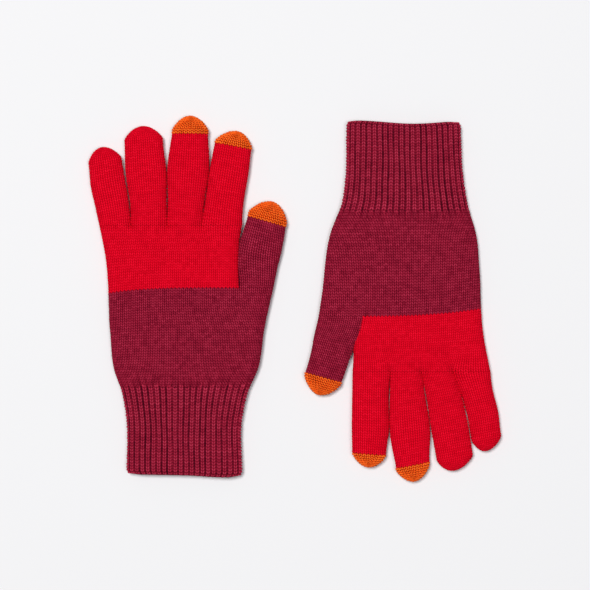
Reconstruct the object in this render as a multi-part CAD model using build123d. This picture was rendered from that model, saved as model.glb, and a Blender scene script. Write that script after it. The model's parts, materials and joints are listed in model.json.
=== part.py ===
from build123d import *
import os
from math import cos, radians, sin

# A pair of seamless knitted gloves with touchscreen fingertips, empty and lying flat.
# The left glove lies back up, with its fingers towards +Y. The right glove lies palm up beside
# it, turned half round. X and Y span the table, Z points up, and the table is z = 0.
# The origin is the middle of the pair's outline, on the table. Sizes are in millimetres.
#
# A glove is one yarn after another on the same tube of knit: a rib cuff, a plain lower hand,
# a plain upper hand in another colour, five finger tubes and three conductive fingertips.
# Each such run is a node. Where the cloth folds, at the wrist and at the root of each finger,
# the few courses that fold are a node of their own.

# The cloth.
THICKNESS = 11.0  # a flat glove: two layers of knit and the air between them
WALL = 1.6  # one layer of knit
FOLD_FLAT = 0.8  # flat strip left along the rounded side folds

# The cuff, knitted in rib.
CUFF_WIDTH = 77.4
CUFF_LENGTH = 60.0  # mouth to first plain course
CAST_ON_LENGTH = 2.2
ELASTIC_ROUNDS = 4
ELASTIC_SIZE = 0.7
ELASTIC_CLEARANCE = 0.05

# The hand. The thumb's side is +X.
LOWER_HAND_LENGTH = 66.0  # rib to thumb crotch
UPPER_HAND_LENGTH = 41.5  # thumb crotch to finger crotches
INDEX_EDGE = 37.2  # from the cuff's centre line to the index side, at the finger crotches
UPPER_HAND_TAPER = 6.0  # how far the little-finger side draws in, down to the thumb crotch
WRIST_FLARE = 3.4  # how much wider than the cuff the hand starts, each side
HEEL_FLARE = 11.5  # the same at the heel, where the hand has filled out
HEEL_RISE = 28.0  # rib to heel

# The fingers: flat width, length from crotch to tip, and lean from the glove's own length.
FINGERS = ("pinky", "ring", "middle", "index")
WIDTH = {"pinky": 20.4, "ring": 23.2, "middle": 22.6, "index": 25.4, "thumb": 23.6}
LENGTH = {"pinky": 53.5, "ring": 67.0, "middle": 73.8, "index": 63.8, "thumb": 58.5}
LEFT_LEAN = {"pinky": -10.3, "ring": -3.6, "middle": 4.1, "index": 9.3, "thumb": 10.6}
RIGHT_LEAN = {"pinky": -10.5, "ring": -9.7, "middle": -5.5, "index": 0.4, "thumb": 11.0}
CAP_LENGTH = {"thumb": 13.6, "index": 11.0, "middle": 11.4}
TIP_ROUNDING = 11.0  # length of the elliptical end of a finger
FINGER_GAP = 0.5  # between neighbouring tubes at the crotches, the thumb and hand included

# The stitches that close the crotches.
TACK_WIDTH = 1.2
TACK_LENGTH = 3.0

# The folds.
FOLD_CLEARANCE = 0.6  # between a tube that has folded square and the one it folds against

# The pair: where the right cuff's mouth is, seen from the left cuff's mouth.
PAIR_SPACING = 147.1
PAIR_ADVANCE = 237.8

edge_radius = (THICKNESS - FOLD_FLAT) / 2
thumb_crotch = CUFF_LENGTH + LOWER_HAND_LENGTH
finger_crotch = thumb_crotch + UPPER_HAND_LENGTH
root_run = THICKNESS  # how far a finger's outline runs on below its crotch before it is cut


def folded_slab(outline, inset):
    """Cloth folded flat: an outline given the glove's thickness, with its side folds rounded."""
    slab = extrude(Pos(0, 0, inset) * outline, THICKNESS - 2 * inset)
    ends = slab.edges().filter_by(Axis.X) + slab.edges().filter_by(Axis.Z)
    folds = [edge for edge in slab.edges() if edge not in ends]
    return fillet(folds, edge_radius - inset)


def side(points, shift):
    """One side of the hand's outline, moved across the glove by shift."""
    return Spline(*[(x + shift, y) for x, y in points])


def hand_outline(left, right, inset):
    left_side = side(left, inset)
    right_side = side(right, -inset)
    mouth = Line(left_side @ 0, right_side @ 0)
    crotch = Line(left_side @ 1, right_side @ 1)
    return make_face([left_side, crotch, right_side, mouth])


def finger_outline(width, length, inset):
    """A finger along +Y from its crotch at y = 0, run on below it, with an elliptical end."""
    half = width / 2 - inset
    shoulder = length - TIP_ROUNDING
    left_side = Line((-half, -root_run), (-half, shoulder))
    tip = EllipticalCenterArc((0, shoulder), half, TIP_ROUNDING - inset, 0, arc_size=180)
    right_side = Line((half, shoulder), (half, -root_run))
    root = Line((half, -root_run), (-half, -root_run))
    return make_face([left_side, tip, right_side, root])


def above(solid, plane):
    return split(solid, bisect_by=plane, keep=Keep.TOP)


def below(solid, plane):
    return split(solid, bisect_by=plane, keep=Keep.BOTTOM)


def course(y):
    """The plane of one course of stitches, at y along the glove."""
    return Plane(origin=(0, y, 0), z_dir=(0, 1, 0))


def root_widths(lean):
    """Each finger's width measured along the crotch line."""
    return {name: WIDTH[name] / cos(radians(lean[name])) for name in WIDTH}


def root_centres(lean):
    """Where the middle of each finger meets its crotch line, laid side by side from the index."""
    widths = root_widths(lean)
    centres = {"thumb": (INDEX_EDGE + FINGER_GAP + widths["thumb"] / 2, thumb_crotch)}
    edge = INDEX_EDGE
    for name in reversed(FINGERS):
        centres[name] = (edge - widths[name] / 2, finger_crotch)
        edge -= widths[name] + FINGER_GAP
    return centres


def hinge_rise(name, lean):
    """From the crotch to a finger's fold line, along the finger."""
    slant = WIDTH[name] / 2 * abs(sin(radians(lean[name])))
    return THICKNESS / 2 + FOLD_CLEARANCE + slant


def cuff_parts(wrist_fold):
    """The rib cuff with its cast-on edge and the elastic laid into its inner face."""
    side_run = [(-CUFF_WIDTH / 2, 0), (CUFF_WIDTH / 2, 0)]
    end = wrist_fold - THICKNESS / 2 - FOLD_CLEARANCE

    def sleeve(inset):
        middle = Pos(0, end / 2) * Rectangle(CUFF_WIDTH - 2 * inset, end)
        return folded_slab(middle, inset)

    outer = sleeve(0)
    inner = sleeve(WALL)
    groove_depth = ELASTIC_SIZE + ELASTIC_CLEARANCE
    groove = sleeve(WALL - groove_depth) - inner
    thread = sleeve(WALL - ELASTIC_SIZE) - inner
    shell = outer - inner
    rounds = []
    pitch = (end - CAST_ON_LENGTH) / (ELASTIC_ROUNDS + 1)
    for row in range(1, ELASTIC_ROUNDS + 1):
        y = CAST_ON_LENGTH + row * pitch
        shell -= below(above(groove, course(y)), course(y + groove_depth))
        rounds.append(below(above(thread, course(y)), course(y + ELASTIC_SIZE)))
    return {
        "cuff_edge": below(shell, course(CAST_ON_LENGTH)),
        "cuff": above(shell, course(CAST_ON_LENGTH)),
        "cuff_elastic": rounds,
    }


def hand_parts(lean, wrist_fold):
    """The wrist's folding courses, and the lower and upper hand."""
    widths = root_widths(lean)
    pinky_edge = root_centres(lean)["pinky"][0] - widths["pinky"] / 2
    little_side = pinky_edge + UPPER_HAND_TAPER
    thumb_side = INDEX_EDGE + FINGER_GAP + widths["thumb"]
    wrist = CUFF_WIDTH / 2
    wrist_start = wrist_fold - THICKNESS / 2 - FOLD_CLEARANCE
    heel = CUFF_LENGTH + HEEL_RISE

    def shell(left, right):
        outer = folded_slab(hand_outline(left, right, 0), 0)
        return outer - folded_slab(hand_outline(left, right, WALL), WALL)

    lower = shell(
        [
            (-wrist, wrist_start),
            (-wrist - WRIST_FLARE, CUFF_LENGTH),
            (-wrist - HEEL_FLARE, heel),
            (little_side, thumb_crotch),
        ],
        [
            (wrist, wrist_start),
            (wrist + WRIST_FLARE, CUFF_LENGTH),
            (wrist + HEEL_FLARE, heel),
            (thumb_side, thumb_crotch),
        ],
    )
    middle = (thumb_crotch + finger_crotch) / 2
    upper = shell(
        [
            (little_side, thumb_crotch),
            (little_side - UPPER_HAND_TAPER * 0.4, middle),
            (pinky_edge, finger_crotch),
        ],
        [(INDEX_EDGE, thumb_crotch), (INDEX_EDGE, middle), (INDEX_EDGE, finger_crotch)],
    )
    hand_start = course(wrist_fold + FOLD_CLEARANCE)
    return {
        "wrist": below(lower, hand_start),
        "lower_hand": above(lower, hand_start),
        "upper_hand": upper,
    }


def finger_parts(name, lean):
    """A finger tube, the courses that fold at its root, and its conductive cap if it has one."""
    outer = folded_slab(finger_outline(WIDTH[name], LENGTH[name], 0), 0)
    shell = outer - folded_slab(finger_outline(WIDTH[name], LENGTH[name], WALL), WALL)
    fold_end = course(hinge_rise(name, lean) + FOLD_CLEARANCE)
    tube = above(shell, fold_end)
    pieces = {}
    if name in CAP_LENGTH:
        border = course(LENGTH[name] - CAP_LENGTH[name])
        pieces[name + "_tip"] = above(tube, border)
        tube = below(tube, border)
    pieces[name] = tube
    x, y = root_centres(lean)[name]
    place = Pos(x, y) * Rot(0, 0, -lean[name])
    pieces = {node: place * piece for node, piece in pieces.items()}
    pieces[name + "_base"] = above(place * below(shell, fold_end), course(y))
    return pieces


def crotch_tacks(lean):
    """Stitches that tie back and palm together between the fingers, and beside the thumb."""
    widths = root_widths(lean)
    centres = root_centres(lean)
    half_gap = FINGER_GAP / 2
    places = [(INDEX_EDGE + half_gap, thumb_crotch)]
    for name in FINGERS[1:]:
        x, y = centres[name]
        places.append((x - widths[name] / 2 - half_gap, y))
    tack = Box(TACK_WIDTH, TACK_LENGTH, THICKNESS - 2 * WALL)
    return [Pos(x, y - TACK_LENGTH / 2, THICKNESS / 2) * tack for x, y in places]


def glove(lean):
    """One glove from its cuff's mouth at y = 0, thumb towards +X, and its fold lines."""
    mid = THICKNESS / 2
    wrist_fold = CUFF_LENGTH
    nodes = cuff_parts(wrist_fold) | hand_parts(lean, wrist_fold)
    folds = {"wrist": (Vector(0, wrist_fold, mid), Vector(1, 0, 0))}
    for name in FINGERS + ("thumb",):
        nodes |= finger_parts(name, lean)
        x, y = root_centres(lean)[name]
        turn = radians(lean[name])
        rise = hinge_rise(name, lean)
        root = Vector(x + rise * sin(turn), y + rise * cos(turn), mid)
        folds[name] = (root, Vector(cos(turn), -sin(turn), 0))
    nodes["crotch_stitches"] = crotch_tacks(lean)
    return nodes, folds


def solids_of(piece):
    """Every solid of a node, whether it is one shape or a list of them."""
    pieces = piece if isinstance(piece, (list, tuple)) else [piece]
    return [solid for item in pieces for solid in item.solids()]


def build_pair():
    """All nodes and fold lines of the pair, with the origin under the middle of its outline."""
    places = {
        "left": (Location((0, 0, 0)), LEFT_LEAN),
        "right": (Location((PAIR_SPACING, PAIR_ADVANCE, 0), (0, 0, 180)), RIGHT_LEAN),
    }
    placed = {}
    folds = {}
    for hand, (place, lean) in places.items():
        nodes, lines = glove(lean)
        for node, piece in nodes.items():
            placed[f"{hand}_{node}"] = [place * solid for solid in solids_of(piece)]
        for name, (point, direction) in lines.items():
            turned = (place * Pos(*direction)).position - place.position
            folds[f"{hand}_{name}"] = ((place * Pos(*point)).position, turned)
    outline = Compound([solid for node in placed.values() for solid in node]).bounding_box()
    middle = outline.center()
    to_origin = Pos(-middle.X, -middle.Y, -outline.min.Z)
    pair = {node: Compound([to_origin * s for s in solids]) for node, solids in placed.items()}
    lines = {name: ((to_origin * Pos(*point)).position, axis) for name, (point, axis) in folds.items()}
    return pair, lines


pair, fold_lines = build_pair()
os.makedirs("parts", exist_ok=True)
for node, shape in pair.items():
    export_step(shape, f"parts/{node}.step")
for name, (point, axis) in fold_lines.items():
    print(f"{name:14} fold at {point.X:8.2f} {point.Y:8.2f} {point.Z:6.2f}"
          f"  axis {axis.X:7.4f} {axis.Y:7.4f}")
print(len(pair), "nodes")
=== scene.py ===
import json
import bpy
import numpy as np
from math import cos, pi, sin
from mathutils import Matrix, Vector


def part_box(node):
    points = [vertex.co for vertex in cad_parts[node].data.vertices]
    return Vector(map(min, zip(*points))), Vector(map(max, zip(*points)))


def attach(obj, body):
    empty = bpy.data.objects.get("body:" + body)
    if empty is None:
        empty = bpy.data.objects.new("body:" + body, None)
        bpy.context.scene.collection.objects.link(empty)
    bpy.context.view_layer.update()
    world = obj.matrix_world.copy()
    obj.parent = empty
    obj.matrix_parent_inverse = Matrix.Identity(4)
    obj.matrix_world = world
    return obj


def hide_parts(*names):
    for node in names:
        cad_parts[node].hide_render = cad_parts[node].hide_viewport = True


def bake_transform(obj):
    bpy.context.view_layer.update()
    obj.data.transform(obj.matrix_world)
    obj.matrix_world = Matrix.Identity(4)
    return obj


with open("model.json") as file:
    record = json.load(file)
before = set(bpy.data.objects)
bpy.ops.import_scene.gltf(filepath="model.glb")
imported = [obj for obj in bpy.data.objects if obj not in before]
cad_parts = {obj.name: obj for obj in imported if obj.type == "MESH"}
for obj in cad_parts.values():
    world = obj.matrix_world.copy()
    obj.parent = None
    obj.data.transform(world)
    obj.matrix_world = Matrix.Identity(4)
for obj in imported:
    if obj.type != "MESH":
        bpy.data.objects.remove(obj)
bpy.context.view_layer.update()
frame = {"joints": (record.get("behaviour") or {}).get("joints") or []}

MM = 0.001  # the gloves are worked out in millimetres, and their meshes are made in metres


# ---------------------------------------------------------------------------------------------
# The place: a pale matt table under two large soft lights, the stronger a little to the upper left
# and the weaker to the right, seen straight down through a long lens, with the pair in the middle.

def linear(hex_colour):
    """An sRGB hex colour as linear red, green, blue and alpha."""
    parts = [int(hex_colour[i:i + 2], 16) / 255 for i in (0, 2, 4)]
    return [p / 12.92 if p <= 0.04045 else ((p + 0.055) / 1.055) ** 2.4 for p in parts] + [1.0]


def add_node(tree, kind, settings=None, links=None):
    """Adds a shader node, with its settings by name and its inputs as values or other sockets."""
    node = tree.nodes.new(kind)
    for name, value in (settings or {}).items():
        setattr(node, name, value)
    for name, value in (links or {}).items():
        if isinstance(value, bpy.types.NodeSocket):
            tree.links.new(value, node.inputs[name])
        else:
            node.inputs[name].default_value = value
    return node


VIEW_WIDTH = 0.3953  # metres of table from side to side
VIEW_MIDDLE = (0.0, 0.0023)
LENS = 110.0
SENSOR = 36.0

camera_data = bpy.data.cameras.new("camera")
camera_data.lens = LENS
camera_data.sensor_width = SENSOR
camera = bpy.data.objects.new("camera", camera_data)
camera.location = (*VIEW_MIDDLE, VIEW_WIDTH * LENS / SENSOR)
bpy.context.scene.collection.objects.link(camera)
bpy.context.scene.camera = camera
bpy.context.scene.view_settings.view_transform = "Standard"


def soft_light(name, place, size, power, colour):
    """A round soft light at a place in metres, turned to the middle of the table."""
    light = bpy.data.lights.new(name, "AREA")
    light.shape = "DISK"
    light.size = size
    light.energy = power
    light.color = linear(colour)[:3]
    lamp = bpy.data.objects.new(name, light)
    lamp.location = place
    lamp.rotation_euler = (-Vector(place)).to_track_quat("-Z", "Y").to_euler()
    bpy.context.scene.collection.objects.link(lamp)


soft_light("key_softbox", (-0.85, 0.85, 4.0), 1.3, 131.0, "FFFFFF")
soft_light("fill_softbox", (0.9, -0.4, 4.0), 1.1, 43.0, "FAF9FF")
world = bpy.context.scene.world or bpy.data.worlds.new("studio")
bpy.context.scene.world = world
world.use_nodes = True
room_light = world.node_tree.nodes["Background"]
room_light.inputs["Color"].default_value = linear("FAFAFD")
room_light.inputs["Strength"].default_value = 0.16

bpy.ops.object.select_all(action="DESELECT")
bpy.ops.mesh.primitive_plane_add(size=6.0, location=(0, 0, 0))
table = bpy.context.object
table.name = "table"
table_paint = bpy.data.materials.new("matt_white_table")
table_paint.use_nodes = True
paint = table_paint.node_tree.nodes["Principled BSDF"]
paint.inputs["Base Color"].default_value = linear("EBEBEB")
paint.inputs["Roughness"].default_value = 0.9
table.data.materials.append(table_paint)


# ---------------------------------------------------------------------------------------------
# The rib cuffs: maroon 1x1 rib, knitted round from a cast-on edge. Each rib stands as a braid of
# stitches beside a recessed gutter of purl stitches, also painted darker as shade, and the last courses
# give way to the plain hand.

def ease(share):
    share = np.clip(share, 0.0, 1.0)
    return share * share * (3 - 2 * share)


def through(points, at):
    """A smooth curve through (place, value) points, read at some places."""
    place, value = np.array(points, float).T
    slope = np.gradient(value, place)
    at = np.clip(np.asarray(at, float), place[0], place[-1])
    i = np.clip(np.searchsorted(place, at) - 1, 0, len(place) - 2)
    run = place[i + 1] - place[i]
    t = (at - place[i]) / run
    return ((1 + 2 * t) * (1 - t) ** 2 * value[i] + t * (1 - t) ** 2 * run * slope[i]
            + t * t * (3 - 2 * t) * value[i + 1] + t * t * (t - 1) * run * slope[i + 1])


def unevenness(x, y, seed):
    """The gentle waves of a limp cloth, between about -1 and 1."""
    wave = 0.0
    for k in range(4):
        a = seed * 1.7 + k * 2.4
        wave = wave + np.sin(x / (9 + 4 * k) + a) * np.cos(y / (11 + 3 * k) + 2.3 * a)
    return wave / 2.4


def around(left, right, fold, half_thick, columns, pins=()):
    """Places round a flat tube, from its left fold over the top and back beneath: x, the height as
    a share of the half thickness, and 1 above or -1 below. They are evenly spaced, except as far as
    pins, each a weight with (column, x, 1 or -1) marks, draw columns to chosen places."""
    fold = min(fold, (right - left) / 2)
    turn = np.linspace(0, pi / 2, 30)
    run_in = fold * (1 - np.cos(turn))
    x = np.concatenate([left + run_in, right - run_in[::-1]])
    share = np.concatenate([np.sin(turn), np.sin(turn)[::-1]])
    half = np.concatenate([[0], np.cumsum(np.hypot(np.diff(x), half_thick * np.diff(share)))])
    loop = np.append(half, 2 * half[-1] - half[-2::-1])
    even = np.arange(columns) * loop[-1] / columns
    at = even.copy()
    for weight, marks in pins:
        column, place, side = np.array(marks, float).T
        reach = np.interp(place, x, half)
        reach = np.where(side > 0, reach, loop[-1] - reach)
        drawn = np.interp(np.arange(columns), [0, *column, columns], [0, *reach, loop[-1]])
        at += (drawn - even) * weight
    height = np.interp(at, loop, np.append(share, -share[-2::-1]))
    return np.interp(at, loop, np.append(x, x[-2::-1])), np.abs(height), np.where(height < 0, -1, 1)


def outward(surface):
    """The outward direction at each place of a closed sleeve given as rows of rings."""
    across = np.roll(surface, -1, 1) - np.roll(surface, 1, 1)
    along = np.gradient(surface, axis=0)
    normal = np.cross(across, along)
    return normal / np.maximum(np.linalg.norm(normal, axis=2, keepdims=True), 1e-9)


INSIDE_PAINTED_SHADE = 0.35  # the inner face is smooth; its colour is painted darker, as the shade behind open stitches


def shell(name, outer, inner, u, v, height, tip=False):
    """A closed shell of knit from the rings of its outer face and of its inner face. u and v count
    wales and courses at the outer rings, and height is the relief, kept to paint the yarn's colour darker
    as shade between the stitches and paler as a highlight on their crests."""
    rows, columns = outer.shape[:2]
    inner_rows = len(inner)
    inside = rows * columns
    points = np.concatenate([outer.reshape(-1, 3), inner.reshape(-1, 3)])
    c = np.arange(columns)
    d = (c + 1) % columns

    def band(first, second, flip):
        quad = np.stack([first + c, first + d, second + d, second + c], 1)
        return quad[:, ::-1] if flip else quad

    quads = [band(r * columns, (r + 1) * columns, False) for r in range(rows - 1)]
    quads += [band(inside + r * columns, inside + (r + 1) * columns, True)
              for r in range(inner_rows - 1)]
    rim_from = len(quads) * columns
    quads.append(band(inside, 0, False))
    last = inside + (inner_rows - 1) * columns
    if not tip:
        quads.append(band((rows - 1) * columns, last, False))
    rim_to = len(quads) * columns
    quads = np.concatenate(quads)
    polygons = [quads.reshape(-1)]
    sizes = [np.full(len(quads), 4)]
    if tip:
        ends = np.stack([outer[-1].mean(0), inner[-1].mean(0)])
        points = np.concatenate([points, ends])
        outer_end, inner_end = len(points) - 2, len(points) - 1
        ring = (rows - 1) * columns
        fans = [np.stack([ring + c, ring + d, np.full(columns, outer_end)], 1),
                np.stack([last + d, last + c, np.full(columns, inner_end)], 1)]
        polygons.append(np.concatenate(fans).reshape(-1))
        sizes.append(np.full(2 * columns, 3))
    corners = np.concatenate(polygons).astype(np.int32)
    sizes = np.concatenate(sizes).astype(np.int32)
    starts = np.concatenate([[0], np.cumsum(sizes)[:-1]]).astype(np.int32)

    mesh = bpy.data.meshes.new(name)
    mesh.vertices.add(len(points))
    mesh.vertices.foreach_set("co", (points * MM).astype(np.float32).reshape(-1))
    mesh.loops.add(len(corners))
    mesh.loops.foreach_set("vertex_index", corners)
    mesh.polygons.add(len(sizes))
    mesh.polygons.foreach_set("loop_start", starts)
    mesh.polygons.foreach_set("loop_total", sizes)
    smooth = np.ones(len(sizes), bool)
    smooth[rim_from:rim_to] = False  # the cut rims stay flat, so that two pieces meet without a line
    mesh.polygons.foreach_set("use_smooth", smooth)

    u_all = np.concatenate([u.reshape(-1), np.tile(u[0], inner_rows), [0.0, 0.0]])[:len(points)]
    v_in = np.repeat(np.linspace(v[0, 0], v[-1, 0], inner_rows), columns)
    v_all = np.concatenate([v.reshape(-1), v_in, [v[-1, 0]] * 2])[:len(points)]
    high = [height.reshape(-1), np.full(inner_rows * columns, INSIDE_PAINTED_SHADE), [0.5, 0.3]]
    high = np.concatenate(high)[:len(points)]
    corner_u, corner_v = u_all[corners], v_all[corners]
    furthest = np.repeat(np.maximum.reduceat(corner_u, starts), sizes)
    around_once = u[0, -1] + (u[0, 1] - u[0, 0])
    corner_u = np.where(furthest - corner_u > around_once / 2, corner_u + around_once, corner_u)
    layer = mesh.uv_layers.new(name="stitches")
    layer.data.foreach_set("uv", np.stack([corner_u, corner_v], 1).astype(np.float32).reshape(-1))
    # the relief's height, from which the yarn paints shade into the gaps and a highlight on the crests
    relief_shade_and_highlight = mesh.attributes.new("relief_shade_and_highlight", "FLOAT", "POINT")
    relief_shade_and_highlight.data.foreach_set("value", high.astype(np.float32))
    mesh.update(calc_edges=True)
    mesh.validate()
    piece = bpy.data.objects.new(name, mesh)
    bpy.context.scene.collection.objects.link(piece)
    return piece


def at_course(smooth, courses):
    """Reads rings given every half course, from half a course early, at other courses."""
    place = np.clip((courses + 0.5) * 2, 0, len(smooth) - 1.001)
    i = place.astype(int)
    part = (place - i)[..., None]
    column = np.broadcast_to(np.arange(smooth.shape[1]), courses.shape)
    return smooth[i, column] * (1 - part) + smooth[i + 1, column] * part


WALL = 1.3  # from the cloth's middle depth to its inner face
WALE_COLUMNS = 6  # columns of points to each wale of plain knit
ON_THE_RING = 0.45  # the part of a stitch's height that lies level with the smooth rings
LOOSE, TIGHT = 0.84, 1.12  # how much lower or higher than the pattern one stitch may stand


def knitted(name, smooth, courses, stitch, depth, phase=0.0, rows=3, sink=None, tip=False,
            per_wale=WALE_COLUMNS):
    """A piece of knit on smooth rings, which come every half course from half a course early, with
    per_wale columns to a wale. stitch gives, across and along one stitch, how far the row slants
    and how high the yarn stands, and depth is the height in millimetres, the same all over or
    given for each course. sink gives, at each course, how far the face goes in, where it rounds
    off or passes under the next piece."""
    columns = smooth.shape[1]
    u = np.arange(columns) / per_wale + phase
    wales = int(columns / per_wale) + 2
    fine = np.arange(courses * rows + 1) / rows
    coarse = np.linspace(0, courses, max(3, courses // 2))
    normals = outward(smooth)
    random = np.random.default_rng(len(name) * 31 + courses)
    pull = random.uniform(LOOSE, TIGHT, (courses + 2, wales + 1))

    def knit_rows(v):
        across, along = np.meshgrid(u, v)
        slant, height = stitch(across, along)
        if tip:
            slant = slant * ease((courses - along) / 2)
        at = along + slant
        height = height * pull[along.astype(int), np.floor(across).astype(int) % wales]
        return at_course(smooth, at), at_course(normals, at), across, along, height

    place, out, across, along, height = knit_rows(fine)
    lift = depth(along) if callable(depth) else depth
    under = sink(along) if sink else 0.0
    outer = place + out * (lift * (height - ON_THE_RING) - under)[..., None]
    place, out, *_ = knit_rows(coarse)
    far_side = np.linalg.norm(place - place[:, (-np.arange(columns)) % columns], axis=2)
    flat = np.abs(out[..., 2])  # on the flat faces a hollow is left between the two inner faces
    wall = WALL * (1 - flat) + np.minimum(WALL, 0.3 * far_side) * flat
    inner = place - out * wall[..., None]
    return shell(name, outer, inner, across, along, height, tip)


joints = {joint["name"]: joint for joint in frame["joints"]}
gloves = {}
for hand, turn, palm in (("left", 1, -1), ("right", -1, 1)):  # turn -1: half round; palm 1: up
    low, high = (Vector(corner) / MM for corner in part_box(f"{hand}_cuff_edge"))
    mouth_y = low.y if turn > 0 else high.y
    mouth = ((low.x + high.x) / 2, mouth_y)
    gloves[hand] = {"hand": hand, "turn": turn, "palm": palm, "mouth": mouth}


def own(glove, place):
    """A place of the pair, in metres, as a place of one glove's own, in millimetres."""
    return ((place[0] / MM - glove["mouth"][0]) * glove["turn"],
            (place[1] / MM - glove["mouth"][1]) * glove["turn"])


def placed(glove, points):
    """Places of one glove's own, in millimetres, as places of the pair."""
    return points * (glove["turn"], glove["turn"], 1) + (*glove["mouth"], 0)


rib_start = max(own(gloves["left"], corner)[1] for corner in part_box("left_cuff_edge"))
rib_end = own(gloves["left"], joints["left_wrist_bend"]["pos_m"])[1]
CUFF_HALF = (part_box("left_cuff")[1][0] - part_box("left_cuff")[0][0]) / MM / 2
RIBS = 22  # on each face
RIB_COURSES = 30
RIB_DEPTH = 1.35
RIB_COLUMNS = 20  # columns of points to each rib
CUFF_COLUMNS = 2 * RIBS * RIB_COLUMNS
MID_HEIGHT = 5.5  # of the middle of the cloth above the table
SIDE_FOLD = 7.5  # how far in from a side fold the cloth is still turning over
LITTLE_SIDE = {  # height above the mouth, and place across, along the little-finger side
    "left": [(0, -38.4), (42, -39.0), (56, -41.6), (72, -46.8), (98, -49.5), (150, -52.9), (172, -57.8)],
    "right": [(0, -36.6), (42, -39.0), (56, -41.6), (78, -47.5), (98, -49.3), (142, -51.9), (172, -57.6)],
}
THUMB_SIDE = {
    "left": [(0, 38.1), (42, 38.7), (56, 42.0), (72, 48.8), (98, 53.0), (136, 61.4)],
    "right": [(0, 38.9), (42, 40.1), (54, 41.8), (74, 49.6), (112, 55.4), (136, 59.3)],
}
MOUTH = {  # place across, and how far the mouth's edge is drawn up there
    "left": [(-39, 1.9), (0, 1.2), (34, 0.0), (39, 0.4)],
    "right": [(-36, 0.7), (-4, 2.5), (22, 0.8), (36, 0.1)],
}
HALF_THICK = [  # height above the mouth, and half the thickness of the two faces together
    (-3, 4.2), (50, 4.3), (62, 4.2), (76, 4.5), (126, 4.4), (170, 4.3),
]
MOUTH_CORNER = 2.2  # how far the mouth's corners are rounded in, over its first CORNER_RUN
CORNER_RUN = 3.5
MOUTH_RUN = 40.0  # the height over which the mouth's unevenness dies away


def cuff_ring(glove, y):
    """One smooth ring of the cuff, whose corners are rounded at the mouth."""
    corner = MOUTH_CORNER * np.clip(1 - y / CORNER_RUN, 0, 1) ** 2
    thick = float(through(HALF_THICK, y))
    hand = glove["hand"]
    left = through(LITTLE_SIDE[hand], y) + corner
    right = through(THUMB_SIDE[hand], y) - corner
    x, share, up = around(left, right, SIDE_FOLD, thick, CUFF_COLUMNS)
    dip = through(MOUTH[hand], x) * np.clip(1 - y / MOUTH_RUN, 0, 1)
    wander = 0.2 * np.sin(y / 7 + x / 6 + glove["turn"]) * np.clip(sin(y / rib_end * pi), 0, 1)
    lie = 0.25 * unevenness(x, y, 3 + glove["turn"])
    return np.stack([x + wander * share, y + dip, MID_HEIGHT + lie + up * thick * share], 1)


def rings(glove, ring, start, end, courses):
    """Smooth rings for a number of courses, every half course from half a course early."""
    course = (end - start) / courses
    half_courses = np.arange(courses * 2 + 3) / 2 - 0.5
    return placed(glove, np.array([ring(glove, start + k * course) for k in half_courses]))


BRAID = 0.82  # of a rib's width is knit stitches, and the rest is the purl gutter
gutter_closed = np.random.default_rng(11).uniform(0.0, 1.0, 2 * RIBS)  # how closed each one is


def rib_stitch(across, along):
    """A braid of knit stitches, and beside it the gutter, in which some purl loops show."""
    part, step = across % 1, along % 1
    leg = np.clip(part / BRAID, 0, 1)
    gutter = np.clip((part - BRAID) / (1 - BRAID), 0, 1)
    slant = (np.abs(leg * 2 - 1) - 0.5) * 0.55
    notch = np.sin(pi * step) ** 0.9
    two_legs = 0.15 + 0.85 * np.abs(np.sin(2 * pi * leg)) ** 0.6
    braid = np.sin(pi * leg) ** 0.3 * two_legs * (0.25 + 0.75 * notch)
    rib = np.floor(across).astype(int) % (2 * RIBS)
    closed = gutter_closed[rib] * (0.65 + 0.35 * np.sin(along / 3.7 + rib * 2.4))
    purl = (0.08 + 0.62 * closed) * np.sin(pi * gutter) ** 0.6 * (0.3 + 0.7 * notch)
    return slant, np.where(part < BRAID, braid, purl)


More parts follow.
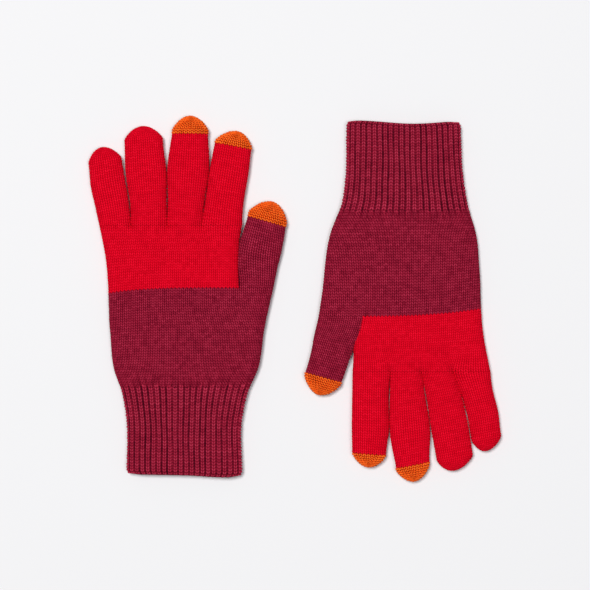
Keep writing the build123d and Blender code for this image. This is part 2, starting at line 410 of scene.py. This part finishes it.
def yarn(name, dark_fleck_and_shade, body, pale_fleck_and_highlight, speckle, streak, fuzz):
    """A matt spun yarn: its tone varies from stitch to stitch by speckle, along the courses by streak
    and fibre by fibre. Its colour is painted darker down between the stitches as shade and paler on their
    crests as a highlight, and the same ramp takes the flecks. Its loose fibres catch the light at the
    edges, as much as fuzz says."""
    material = bpy.data.materials.new(name)
    material.use_nodes = True
    tree = material.node_tree
    skin = tree.nodes["Principled BSDF"]
    stitches = add_node(tree, "ShaderNodeUVMap", {"uv_map": "stitches"}).outputs["UV"]
    relief_shade_and_highlight = add_node(tree, "ShaderNodeAttribute", {"attribute_name": "relief_shade_and_highlight"}).outputs["Fac"]
    place = add_node(tree, "ShaderNodeTexCoord").outputs["Object"]
    whole = add_node(tree, "ShaderNodeVectorMath", {"operation": "FLOOR"}, {0: stitches})
    each = add_node(tree, "ShaderNodeTexWhiteNoise", {"noise_dimensions": "2D"},
                    {"Vector": whole.outputs[0]})
    run = add_node(tree, "ShaderNodeMapping", None, {"Vector": stitches, "Scale": (0.12, 1.0, 1.0)})
    streaks = add_node(tree, "ShaderNodeTexNoise", None,
                       {"Vector": run.outputs[0], "Scale": 1.0, "Detail": 3.0})
    fibres = add_node(tree, "ShaderNodeTexNoise", None,
                      {"Vector": place, "Scale": 2600.0, "Detail": 3.0, "Roughness": 0.65})
    # the relief's height paints shade into the gaps between stitches and a highlight on their crests;
    # random flecks are added to it
    shade_and_tone = relief_shade_and_highlight
    for source, share in ((each.outputs["Value"], speckle * 0.5), (streaks.outputs["Fac"], streak),
                          (fibres.outputs["Fac"], speckle * 1.5)):
        shade_and_tone = add_node(tree, "ShaderNodeMath", {"operation": "MULTIPLY_ADD"},
                        {0: source, 1: share, 2: shade_and_tone}).outputs[0]
    middling = speckle + streak / 2  # what the three add to the painted shade and highlight on the average
    spread = add_node(tree, "ShaderNodeMapRange", None,
                      {"Value": shade_and_tone, "From Min": middling, "From Max": 1.0 + middling})
    shade = add_node(tree, "ShaderNodeValToRGB", None, {"Fac": spread.outputs["Result"]})
    ramp = shade.color_ramp
    # painted shade between the stitches at the dark end, painted highlight on their crests at the pale end
    ramp.elements[0].position, ramp.elements[0].color = 0.0, linear(dark_fleck_and_shade)
    ramp.elements[1].position, ramp.elements[1].color = 1.0, linear(pale_fleck_and_highlight)
    ramp.elements.new(0.5).color = linear(body)
    tree.links.new(shade.outputs["Color"], skin.inputs["Base Color"])
    bump = add_node(tree, "ShaderNodeBump", None,
                    {"Height": fibres.outputs["Fac"], "Strength": 0.5, "Distance": 0.0003})
    tree.links.new(bump.outputs["Normal"], skin.inputs["Normal"])
    skin.inputs["Roughness"].default_value = 0.9
    skin.inputs["Specular IOR Level"].default_value = 0.04
    skin.inputs["Sheen Weight"].default_value = fuzz
    skin.inputs["Sheen Roughness"].default_value = 0.5
    skin.inputs["Sheen Tint"].default_value = linear(pale_fleck_and_highlight)
    return material


def rib_depth(course):
    """The ribs flatten by half over their last courses."""
    return RIB_DEPTH * (1 - 0.5 * ease((course - RIB_COURSES + 4) / 3))


TUCK = 0.9  # how far a piece's last course sinks, to pass under the next piece


def tucked_under(courses):
    """How far in a piece of so many courses goes over the first half of its last one."""
    return lambda course: TUCK * ease((course - courses + 1) / 0.5)


# yarn colours: painted shade between stitches, the yarn's own colour, painted highlight on crests
maroon_rib_yarn = yarn("maroon_acrylic_rib_knit", "3A0312", "961731", "C23C58", 0.28, 0.06, 0.03)
rib_course = (rib_end - rib_start) / (RIB_COURSES - 1)

for hand, glove in gloves.items():
    smooth = rings(glove, cuff_ring, rib_start, rib_end + rib_course, RIB_COURSES)
    cuff = knitted(f"{hand}_rib_cuff", smooth, RIB_COURSES, rib_stitch, rib_depth, rows=4,
                   sink=tucked_under(RIB_COURSES), per_wale=RIB_COLUMNS)
    cuff.data.materials.append(maroon_rib_yarn)
    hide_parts(f"{hand}_cuff", f"{hand}_wrist")
    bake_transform(cuff)


# ---------------------------------------------------------------------------------------------
# The cast-on edge and the elastic: the mouth starts with a firm round edge of looped yarn, and
# four rounds of covered elastic thread run inside the cuff, which they draw in to the wrist.

CAST_ON_COURSES = 1
ELASTIC_RADIUS = 0.35
ELASTIC_ROUNDS = 4
ROUND_HALF_HEIGHT = 2.3  # of a round of the thread, which lies flat inside the cuff
ELASTIC_CLEAR = 1.6  # how far in from the cuff's side folds a round ends

elastic_thread = bpy.data.materials.new("covered_elastic_thread")
elastic_thread.use_nodes = True
tree = elastic_thread.node_tree
thread = tree.nodes["Principled BSDF"]
windings = add_node(tree, "ShaderNodeTexWave", {"bands_direction": "X"},
                    {"Vector": add_node(tree, "ShaderNodeTexCoord").outputs["Object"],
                     "Scale": 700.0, "Distortion": 1.0})
wound = add_node(tree, "ShaderNodeValToRGB", None, {"Fac": windings.outputs["Fac"]})
wound.color_ramp.elements[0].color = linear("5A1020")
wound.color_ramp.elements[1].color = linear("8C1E36")
tree.links.new(wound.outputs["Color"], thread.inputs["Base Color"])
thread.inputs["Roughness"].default_value = 0.6


def cast_on_stitch(across, along):
    """Rib stitches that start level, along the cast-on row."""
    slant, height = rib_stitch(across, along)
    return slant * 0.85 * ease(along / 0.9), height


def rounded_edge(course):
    """How far in the edge's face goes, to round the rim off."""
    return 0.9 * (1 - ease(course / 0.9)) ** 2


def joined(loops, name):
    """Some loops of thread as one smooth piece."""
    bpy.ops.object.select_all(action="DESELECT")
    for loop in loops:
        loop.select_set(True)
    bpy.context.view_layer.objects.active = loops[0]
    bpy.ops.object.join()
    piece = bpy.context.object
    piece.name = name
    bpy.ops.object.transform_apply(location=True, rotation=True, scale=True)
    bpy.ops.object.shade_smooth()
    return piece


for hand, glove in gloves.items():
    smooth = rings(glove, cuff_ring, 0.0, rib_start, CAST_ON_COURSES)
    edge = knitted(f"{hand}_cast_on_edge", smooth, CAST_ON_COURSES, cast_on_stitch, RIB_DEPTH, rows=6,
                   sink=rounded_edge, per_wale=RIB_COLUMNS)
    edge.data.materials.append(maroon_rib_yarn)
    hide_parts(f"{hand}_cuff_edge")
    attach(edge, f"{hand}_cuff")

    low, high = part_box(f"{hand}_cuff_elastic")
    radius = ELASTIC_RADIUS * MM
    half_height = ROUND_HALF_HEIGHT * MM
    centre = glove["mouth"][0] * MM
    reach = (CUFF_HALF - ELASTIC_CLEAR) * MM - half_height - radius
    rounds = []
    for y in np.linspace(low[1] + radius, high[1] - radius, ELASTIC_ROUNDS):
        bpy.ops.object.select_all(action="DESELECT")
        bpy.ops.mesh.primitive_torus_add(
            major_radius=half_height, minor_radius=radius, major_segments=32, minor_segments=8,
            location=(centre, y, MID_HEIGHT * MM), rotation=(pi / 2, 0, 0))
        loop = bpy.context.object
        bpy.ops.object.transform_apply(location=True, rotation=True, scale=True)
        for side in (-1, 1):
            for vertex in loop.data.vertices:
                vertex.select = (vertex.co.x - centre) * side > 1e-6
            bpy.ops.object.mode_set(mode="EDIT")
            bpy.ops.transform.translate(value=(side * reach, 0, 0))
            bpy.ops.object.mode_set(mode="OBJECT")
        rounds.append(loop)
    elastic = joined(rounds, f"{hand}_elastic_rounds")
    elastic.data.materials.append(elastic_thread)
    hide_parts(f"{hand}_cuff_elastic")
    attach(elastic, f"{hand}_cuff")


# ---------------------------------------------------------------------------------------------
# The hands: a tube of plain knit in two colours. The maroon lower hand is wide enough for the
# thumb, which leaves it on the palm side. The red upper hand parts into four fingers at its top.

STITCH_DEPTH = 0.62
LOWER_COURSES = 38
UPPER_COURSES = 24
HAND_WALES = 35  # on each face of the upper hand
LOWER_WALES = 44  # and of the lower hand, which has the thumb's own besides
THUMB_PALM_FROM = 32  # the wale of the palm where the thumb begins
FINGER_WALES = [0, 8, 17, 26, 35]  # where the fingers start and end, from the little-finger side
FOUR_FINGERS = ["pinky", "ring", "middle", "index"]
CROTCHES = {"left": [-35.6, -11.7, 11.2], "right": [-31.6, -10.7, 10.0]}
HAND_EDGE = {  # the red hand's edge on the thumb side
    "left": [(120, 36.4), (142, 35.6), (156, 36.2), (172, 39.2)],
    "right": [(120, 36.8), (156, 34.4), (172, 35.3)],
}
COURSE_RUN = {  # how far the colour change is raised, how far it falls to the little side, how late
    "left": (0.0, 3.6, 4.0),
    "right": (4.6, 5.1, 2.8),
}
BOW_AT = [  # height above the mouth, and the share of that run which the courses have there
    (60, 0.0), (100, 0.6), (126, 1.0), (150, 0.5), (168, 0.0), (172, 0.0),
]
FINGER_PINCH = 8.0  # how wide the cloth is drawn together each side of a crotch
LAP_EDGE = 3.0  # how far into the hand the thumb's lap on its palm starts, and over what width
LAP_WIDTH = 9.0
LAP_PUSH = 1.5  # how far the thumb pushes the hand's edge away, and how much that edge thins
LAP_THINNER = 0.3
GATHER_HEIGHT = 0.8  # the gathers over the rib, about 8 mm from one to the next, and their run
GATHER_RUN = 14.0

thumb_crotch = max(own(gloves["left"], corner)[1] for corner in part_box("left_lower_hand"))
finger_crotch = max(own(gloves["left"], corner)[1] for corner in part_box("left_upper_hand"))
hand_edge = max(own(gloves["left"], corner)[0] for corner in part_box("left_upper_hand"))
back_edge = hand_edge - 0.6  # where the thumb leaves the hand, seen on its back
palm_edge = hand_edge - 10.5  # and seen on its palm, where it lies over the hand

for hand, glove in gloves.items():
    glove["roots"] = {}
    for finger in (*FOUR_FINGERS, "thumb"):
        joint = joints[f"{hand}_{finger}_curl"]
        x, y = own(glove, joint["pos_m"])
        across = Vector(joint["axis"]) * glove["turn"]
        crotch = thumb_crotch if finger == "thumb" else finger_crotch
        lean = np.arctan2(-across.y, across.x)
        glove["roots"][finger] = {"lean": lean, "x": x - (y - crotch) * np.tan(lean), "y": crotch,
                                  "rise": (y - crotch) / cos(lean)}
    glove["crotches"] = CROTCHES[hand]


def both_faces(columns, marks):
    """Marks of one face and the same ones on the other face."""
    return [(c, x, 1) for c, x in marks] + [(columns - c, x, -1) for c, x in marks[-2::-1]]


def parted(x, lines, reach):
    """The height left by pinching a flat tube shut along some lines, from 0 on them to 1 away."""
    away = np.min([np.abs(x - line) for line in lines], axis=0)
    return np.maximum(np.sqrt(1 - (1 - np.clip(away / reach, 0, 1)) ** 2), 0.1)


def hand_ring(glove, y, right, columns, pins, pinches, tucked):
    """One smooth ring of the hand. pinches are how far it is pinched shut, and the lines on the back
    and on the palm that it is pinched along. tucked is how far its thumb edge gives way to the thumb."""
    palm = glove["palm"]
    left = float(through(LITTLE_SIDE[glove["hand"]], y))
    thick = float(through(HALF_THICK, y))
    x, share, up = around(left, right, SIDE_FOLD, thick, columns, pins)
    pinch, back_lines, palm_lines = pinches
    lobes = np.where(up == palm, parted(x, palm_lines, FINGER_PINCH), parted(x, back_lines, FINGER_PINCH))
    share = share * (1 - pinch) + np.minimum(share, lobes) * pinch
    give = ease((x - palm_edge + LAP_EDGE) / LAP_WIDTH) * tucked
    mid = MID_HEIGHT + 0.3 * unevenness(x, y, 5 + glove["turn"]) - palm * LAP_PUSH * give
    gathers = GATHER_HEIGHT * np.sin(x / 1.3 + 1.5 * np.sin(x / 9) + glove["turn"])
    gathers = gathers * (1 - ease((y - rib_end) / GATHER_RUN))
    half = (thick * (1 - LAP_THINNER * give) + gathers) * share
    raised, fall, late = COURSE_RUN[glove["hand"]]
    run = raised - fall * np.clip((hand_edge - x) / (hand_edge - left), 0, 1) ** late
    return np.stack([x, y + run * float(through(BOW_AT, y)), mid + up * half], 1)


LOWER_COLUMNS = 2 * LOWER_WALES * WALE_COLUMNS
UPPER_COLUMNS = 2 * HAND_WALES * WALE_COLUMNS
THUMB_FROM = 98.0  # the height from which the lower hand's wales are drawn aside for the thumb
THUMB_SHUT = 6  # the height below its crotch over which a tube is pinched shut
FINGERS_SHUT = 7
TUCKED_RUN = 28  # how far above the thumb's crotch the hand still gives way to the thumb


def shut(y, crotch, run):
    """How far the tube is pinched shut at a height, from 0 a run below the crotch to 1 at it."""
    return np.clip((y - crotch + run) / run, 0, 1) ** 1.6


def lower_ring(glove, y):
    """One smooth ring of the lower hand, which is pinched shut beside the thumb at its top."""
    columns = LOWER_COLUMNS
    right = float(through(THUMB_SIDE[glove["hand"]], y))
    back, front = HAND_WALES * WALE_COLUMNS, THUMB_PALM_FROM * WALE_COLUMNS
    on_palm, on_back = (front, palm_edge), (back, back_edge)
    top, below = (on_palm, on_back) if glove["palm"] > 0 else (on_back, on_palm)
    marks = [(*top, 1), (columns // 2, right, 1), (columns - below[0], below[1], -1)]
    near = ease((y - THUMB_FROM) / (thumb_crotch - THUMB_FROM))
    pinch = shut(y, thumb_crotch, THUMB_SHUT)
    return hand_ring(glove, y, right, columns, [(near, marks)], (pinch, [back_edge], [palm_edge]), 0.0)


def upper_ring(glove, y):
    """One smooth ring of the upper hand, which is pinched shut along its three crotches at its top."""
    columns = UPPER_COLUMNS
    right = float(through(HAND_EDGE[glove["hand"]], y))
    up_share = (y - thumb_crotch) / (finger_crotch - thumb_crotch)
    front = THUMB_PALM_FROM * WALE_COLUMNS
    middle = (columns // 2, right, 1)
    if glove["palm"] > 0:
        start = [(front, palm_edge, 1), middle]
    else:
        start = [middle, (columns - front, palm_edge, -1)]
    parting = [(n * WALE_COLUMNS, x) for n, x in zip(FINGER_WALES[1:4], glove["crotches"])]
    end = both_faces(columns, [*parting, (columns // 2, right)])
    pins = [(1 - ease(up_share * 2.2), start), (ease(up_share * 2.2 - 1.2), end)]
    pinch = shut(y, finger_crotch, FINGERS_SHUT)
    tucked = 1 - float(ease((y - thumb_crotch) / TUCKED_RUN))
    pinches = (pinch, glove["crotches"], glove["crotches"])
    return hand_ring(glove, y, right, columns, pins, pinches, tucked)


def leg_slant(part):
    """How far up a stitch's legs reach at their outer ends, and down at the middle."""
    return (np.abs(part * 2 - 1) - 0.5) * 0.8


def plain_stitch(across, along):
    """The two slanting legs of a knit stitch."""
    part = across % 1
    slant = leg_slant(part)
    notch = np.sin(pi * (along % 1)) ** 0.9
    leg = np.abs(np.sin(2 * pi * part)) ** 0.7
    return slant, leg * (0.2 + 0.8 * notch)


def lower_stitch(across, along):
    """Plain stitches whose first courses still show the gutters of the rib below."""
    slant, height = plain_stitch(across, along)
    gutter = np.sin(pi * np.clip((across % 2 - 2 * BRAID + 0.1) / (2 - 2 * BRAID), 0, 1))
    return slant, height * (1 - 0.85 * gutter * np.exp(-along / 2.2))


def open_stitch(across, along):
    """Stitches of the slicker conductive yarn, which stand apart with holes between, also painted dark as
    shade.
    """
    part = across % 1
    slant = leg_slant(part)
    notch = np.sin(pi * (along % 1)) ** 1.3
    return slant, np.minimum(1, 1.5 * np.abs(np.sin(2 * pi * part)) * (0.02 + 0.98 * notch))


# yarn colours: painted shade between stitches, the yarn's own colour, painted highlight on crests
maroon_yarn = yarn("maroon_acrylic_plain_knit", "3E0212", "92132E", "BC3451", 0.34, 0.06, 0.03)
red_yarn = yarn("red_acrylic_plain_knit", "960010", "DE001D", "F81436", 0.22, 0.16, 0.02)

lower_course = (thumb_crotch - rib_end) / LOWER_COURSES

for hand, glove in gloves.items():
    smooth = rings(glove, lower_ring, rib_end, thumb_crotch + lower_course, LOWER_COURSES + 1)
    lower = knitted(f"{hand}_lower_hand_knit", smooth, LOWER_COURSES + 1, lower_stitch, STITCH_DEPTH,
                    sink=tucked_under(LOWER_COURSES + 1))
    lower.data.materials.append(maroon_yarn)
    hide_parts(f"{hand}_lower_hand")
    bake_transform(lower)

    smooth = rings(glove, upper_ring, thumb_crotch, finger_crotch, UPPER_COURSES)
    upper = knitted(f"{hand}_upper_hand_knit", smooth, UPPER_COURSES, plain_stitch, STITCH_DEPTH)
    upper.data.materials.append(red_yarn)
    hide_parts(f"{hand}_upper_hand")
    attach(upper, f"{hand}_hand")


# ---------------------------------------------------------------------------------------------
# The fingers and thumbs: tubes of plain knit that carry on the hand's own wales, with a wale more
# at each crotch, and close at their tips. The thumb, index and middle finger end in a cap of orange
# yarn spun with conductive fibre, in a more open stitch.

FINGER_COURSE = 1.72
ORANGE_DEPTH = 1.15


def finger_shape(edges, tip_x, longer, cap=0.0, tilt=0.0):
    """One finger's shape: its edges, as heights above the mouth with the places across of its little
    side and of its thumb side, where its tip points, how much longer its cloth is than its part of
    the frame, how long its orange cap is, and how far that cap's edge is tilted."""
    return {"edges": edges, "tip_x": tip_x, "longer": longer, "cap": cap, "tilt": tilt}


FINGERS = {
    "left": {
        "pinky": finger_shape([(181.6, -60.1, -36.7), (196, -63.3, -39.1), (210, -64.6, -41.4)],
                              -55.2, -0.6),
        "ring": finger_shape([(181.6, -36.5, -11.7), (204, -39.7, -12.0), (222, -40.3, -14.1)],
                             -28.0, -0.6),
        "middle": finger_shape([(181.6, -11.5, 13.0), (208, -11.6, 16.7), (231, -8.4, 16.0)],
                               3.9, -0.8, 11.8, -0.06),
        "index": finger_shape([(181.6, 13.2, 39.6), (208, 17.1, 43.7), (221, 19.6, 45.2)],
                              35.0, -0.6, 10.3, 0.03),
        "thumb": finger_shape([(126, 25.9, 59.4), (142, 33.2, 62.5), (156, 37.0, 65.7), (172, 42.0, 68.4)],
                              58.4, -0.6, 13.2, 0.1),
    },
    "right": {
        "pinky": finger_shape([(181.6, -59.0, -37.1), (196, -62.5, -41.0), (210, -64.2, -43.4)],
                              -54.2, 0.2),
        "ring": finger_shape([(181.6, -36.9, -13.3), (204, -42.3, -16.7), (223, -45.4, -20.1)],
                             -32.9, -0.2),
        "middle": finger_shape([(181.6, -13.1, 10.6), (208, -17.0, 10.5), (231, -16.7, 6.4)],
                               -6.2, -0.6, 11.1, -0.1),
        "index": finger_shape([(181.6, 10.8, 35.5), (208, 10.8, 35.8), (221, 12.4, 35.6)],
                              24.3, -0.3, 9.4, 0.07),
        "thumb": finger_shape([(126, 25.9, 57.4), (142, 31.6, 60.4), (162, 38.4, 64.3), (172, 42.0, 67.3)],
                              57.6, -1.0, 11.0, 0.08),
    },
}
FINGER_FOLD = 9.6  # how far in from its side folds a finger is still turning over
ROUNDED = {"thumb": 10.0, "middle": 9.4}  # how far back from its end a finger narrows
ROUNDED_OTHERS = 8.6
SETTLE = 7.0  # over this length a finger takes its own shape
THUMB_SETTLE = 24.0
CROTCH_GAP = 0.3  # between a finger's edge and its outline, so that neighbours lie apart
TIP_CROWDING = 0.8  # how much of the turn-in at a tip counts toward its courses
TIP_HOLE = 0.02  # how far before its end a finger's last ring is, which is then closed
THUMB_PINNED = 46  # over this length a thumb's outer edge stays on its own wale
OVER_PALM_WIDTH = 11  # how much of a thumb's width lies over the palm, and from where to where
OVER_PALM_FROM = 6
OVER_PALM_RUN = 30
OVER_PALM_LIFT = 2.2
OVER_PALM_THINNER = 0.42


def branch(ring, first, last, back_first, back_last):
    """The part of a hand's top ring that one finger carries on: its columns over the top, then those
    beneath, with a wale more at each crotch. Also how many columns its start is moved."""
    gap = np.arange(1, WALE_COLUMNS)[:, None] / WALE_COLUMNS
    above, beneath = ring[first:last + 1], ring[back_first:back_last + 1]
    if back_first == last:  # the side fold, where the faces share a column
        parts = [above, beneath[1:]]
    else:
        parts = [above, above[-1] * (1 - gap) + beneath[0] * gap, beneath]
    if back_last % len(ring) == first:
        return np.concatenate(parts), 0
    closing = ring[back_last] * (1 - gap) + ring[first] * gap
    moved = WALE_COLUMNS // 2
    return np.concatenate([closing[-moved:], *parts, closing[:-moved]]), moved


def finger_start(glove, name):
    """The ring that a finger carries on from its hand, how many columns its start is moved, and its
    edges from there up."""
    hand, top = glove["hand"], glove["roots"][name]["y"]
    edges = FINGERS[hand][name]["edges"]
    if name == "thumb":
        near, far = HAND_WALES, THUMB_PALM_FROM
        if glove["palm"] > 0:
            near, far = far, near
        fold = LOWER_COLUMNS // 2
        return *branch(lower_ring(glove, top), near * WALE_COLUMNS, fold,
                       fold, LOWER_COLUMNS - far * WALE_COLUMNS), edges
    at = FOUR_FINGERS.index(name)
    first, last = (FINGER_WALES[n] * WALE_COLUMNS for n in (at, at + 1))
    marks = [float(through(LITTLE_SIDE[hand], finger_crotch)), *glove["crotches"],
             float(through(HAND_EDGE[hand], finger_crotch))]
    return *branch(upper_ring(glove, top), first, last, UPPER_COLUMNS - last, UPPER_COLUMNS - first), [
        (top, marks[at], marks[at + 1]), *edges]


def finger_rings(glove, name):
    """The smooth rings of a finger every half course, how many columns its start is moved, its
    number of courses, and the course where its cap begins."""
    root, shape = glove["roots"][name], FINGERS[glove["hand"]][name]
    lean, palm, thumb, cap = root["lean"], glove["palm"], name == "thumb", shape["cap"]
    node = f"{glove['hand']}_{name}" + ("_tip" if cap else "")
    end_y = max(own(glove, corner)[1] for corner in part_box(node))
    length = (end_y - root["y"]) / cos(lean) + shape["longer"]
    rounded = ROUNDED.get(name, ROUNDED_OTHERS)
    full = length - rounded  # the length over which it keeps its full width

    base, moved, edges = finger_start(glove, name)
    heights, inner, outer = np.array(edges, float).T
    up_finger = (heights - root["y"]) / cos(lean)
    off_axis = (inner + outer) / 2 - root["x"] - (heights - root["y"]) * np.tan(lean)
    apart = 0.0 if thumb else CROTCH_GAP * (heights > root["y"])
    half = (outer - inner) / 2 * cos(lean) - apart
    half_at = [*zip(up_finger, half), (length, half[-1])]
    drift_at = [*zip(up_finger, off_axis), (length, off_axis[-1])]
    thick_at = [(0, 4.3), (12, 4.6), (length * 0.7, 4.5), (length, 4.0)]
    peak = shape["tip_x"] - root["x"] - length * sin(lean) - off_axis[-1]

    def past(t):
        return np.clip((t - full) / rounded, 0, 1)

    def half_width(t):
        return through(half_at, t) * np.maximum(1 - past(t) ** 1.2, 0) ** 0.52

    def half_thick(t):
        return through(thick_at, t) * np.sqrt(np.maximum(1 - past(t) ** 2.6, 0))

    fine = np.linspace(0, length, 600)
    narrowing = np.hypot(np.diff(half_width(fine)), np.diff(half_thick(fine))) * (fine[1:] > full)
    run = np.concatenate([[0], np.cumsum(np.hypot(np.diff(fine), narrowing * TIP_CROWDING))])
    courses = int(round(run[-1] / FINGER_COURSE))
    cap_course = int(round(np.interp(length - cap, fine, run) / run[-1] * courses))
    along = np.array((sin(lean), cos(lean)))
    square = np.array((cos(lean), -sin(lean)))
    far_column = moved + (LOWER_WALES - (THUMB_PALM_FROM if palm > 0 else HAND_WALES)) * WALE_COLUMNS
    result = []
    for k in np.arange(courses * 2 + 3) / 2 - 0.5:
        t = float(np.interp(k / courses * run[-1], run, fine)) if k > 0 else k * FINGER_COURSE
        t = min(t, length - TIP_HOLE)
        above = max(t, 0)
        half, thick = float(half_width(above)), float(half_thick(above))
        pins = [(1 - float(ease(t / THUMB_PINNED)), [(far_column, half, 1)])] if thumb else ()
        x, share, up = around(-half, half, FINGER_FOLD, thick, len(base), pins)
        middle_x = root["x"] + float(through(drift_at, above)) + peak * float(past(t)) ** 1.5
        level = max(0, 1 - abs(t - length + cap) / (length / 2)) * (cap > 0)
        leaning = square - along * shape["tilt"] * level
        flat = np.array((middle_x, root["y"])) + along * t + x[:, None] * leaning
        mid = MID_HEIGHT + 0.25 * unevenness(flat[:, 0], flat[:, 1], 7 + glove["turn"])
        if thumb:  # its near edge lies thin over the palm
            over_palm = 1 - ease((x + half) / OVER_PALM_WIDTH)
            over_palm = over_palm * (1 - ease((t - OVER_PALM_FROM) / OVER_PALM_RUN))
            mid = mid + palm * OVER_PALM_LIFT * over_palm
            thick = thick * (1 - OVER_PALM_THINNER * over_palm)
        own_ring = np.column_stack([flat, mid + up * thick * share])
        grown = float(ease(t / (THUMB_SETTLE if thumb else SETTLE)))
        result.append((base + np.append(along * t, 0)) * (1 - grown) + own_ring * grown)
    return placed(glove, np.array(result)), moved, courses, cap_course


# yarn colours: painted shade in the holes, the yarn's own colour, painted highlight on crests
orange_yarn = yarn("orange_conductive_knit", "340500", "F9500C", "FF7E2E", 0.30, 0.06, 0.02)

for hand, glove in gloves.items():
    for finger, shape in FINGERS[hand].items():
        smooth, moved, courses, cap_course = finger_rings(glove, finger)
        phase = -moved / WALE_COLUMNS
        piece = knitted(f"{hand}_{finger}_knit", smooth[:2 * cap_course + 3], cap_course, plain_stitch,
                        STITCH_DEPTH, phase, tip=not shape["cap"])
        thumb = finger == "thumb"
        piece.data.materials.append(maroon_yarn if thumb else red_yarn)
        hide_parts(f"{hand}_{finger}_base", f"{hand}_{finger}")
        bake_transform(piece)
        if shape["cap"]:
            tip = knitted(f"{hand}_{finger}_cap_knit", smooth[2 * cap_course:], courses - cap_course,
                          open_stitch, ORANGE_DEPTH, phase, tip=True)
            tip.data.materials.append(orange_yarn)
            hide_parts(f"{hand}_{finger}_tip")
            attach(tip, f"{hand}_{finger}")


# ---------------------------------------------------------------------------------------------
# The crotch stitches: a few turns of the same yarn, sewn over each crotch from face to face to
# close the hole where the tubes part.

TACK_RADIUS = 1.25
TACK_YARN = 0.33  # radius
TACK_APART = 0.75
BELOW_CROTCH = 0.9

for hand, glove in gloves.items():
    spots = [(x, finger_crotch, 0) for x in glove["crotches"]] + [(back_edge, thumb_crotch, 1)]
    tacks = []
    for x, y, colour in spots:
        for beside in (-TACK_APART, 0.0, TACK_APART):
            centre = placed(glove, np.array((x + beside, y - BELOW_CROTCH, MID_HEIGHT))) * MM
            bpy.ops.object.select_all(action="DESELECT")
            bpy.ops.mesh.primitive_torus_add(
                major_radius=TACK_RADIUS * MM, minor_radius=TACK_YARN * MM,
                major_segments=20, minor_segments=8,
                location=centre, rotation=(0.0, pi / 2, 0.12 * beside))
            bpy.ops.object.mode_set(mode="EDIT")
            bpy.ops.mesh.select_all(action="SELECT")
            bpy.ops.transform.resize(value=(1.0, 1.35, 1.0), center_override=tuple(centre))
            bpy.ops.object.mode_set(mode="OBJECT")
            loop = bpy.context.object
            loop.data.materials.append(red_yarn)
            loop.data.materials.append(maroon_yarn)
            for face in loop.data.polygons:
                face.material_index = colour
            tacks.append(loop)
    sewn = joined(tacks, f"{hand}_sewn_crotches")
    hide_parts(f"{hand}_crotch_stitches")
    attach(sewn, f"{hand}_hand")
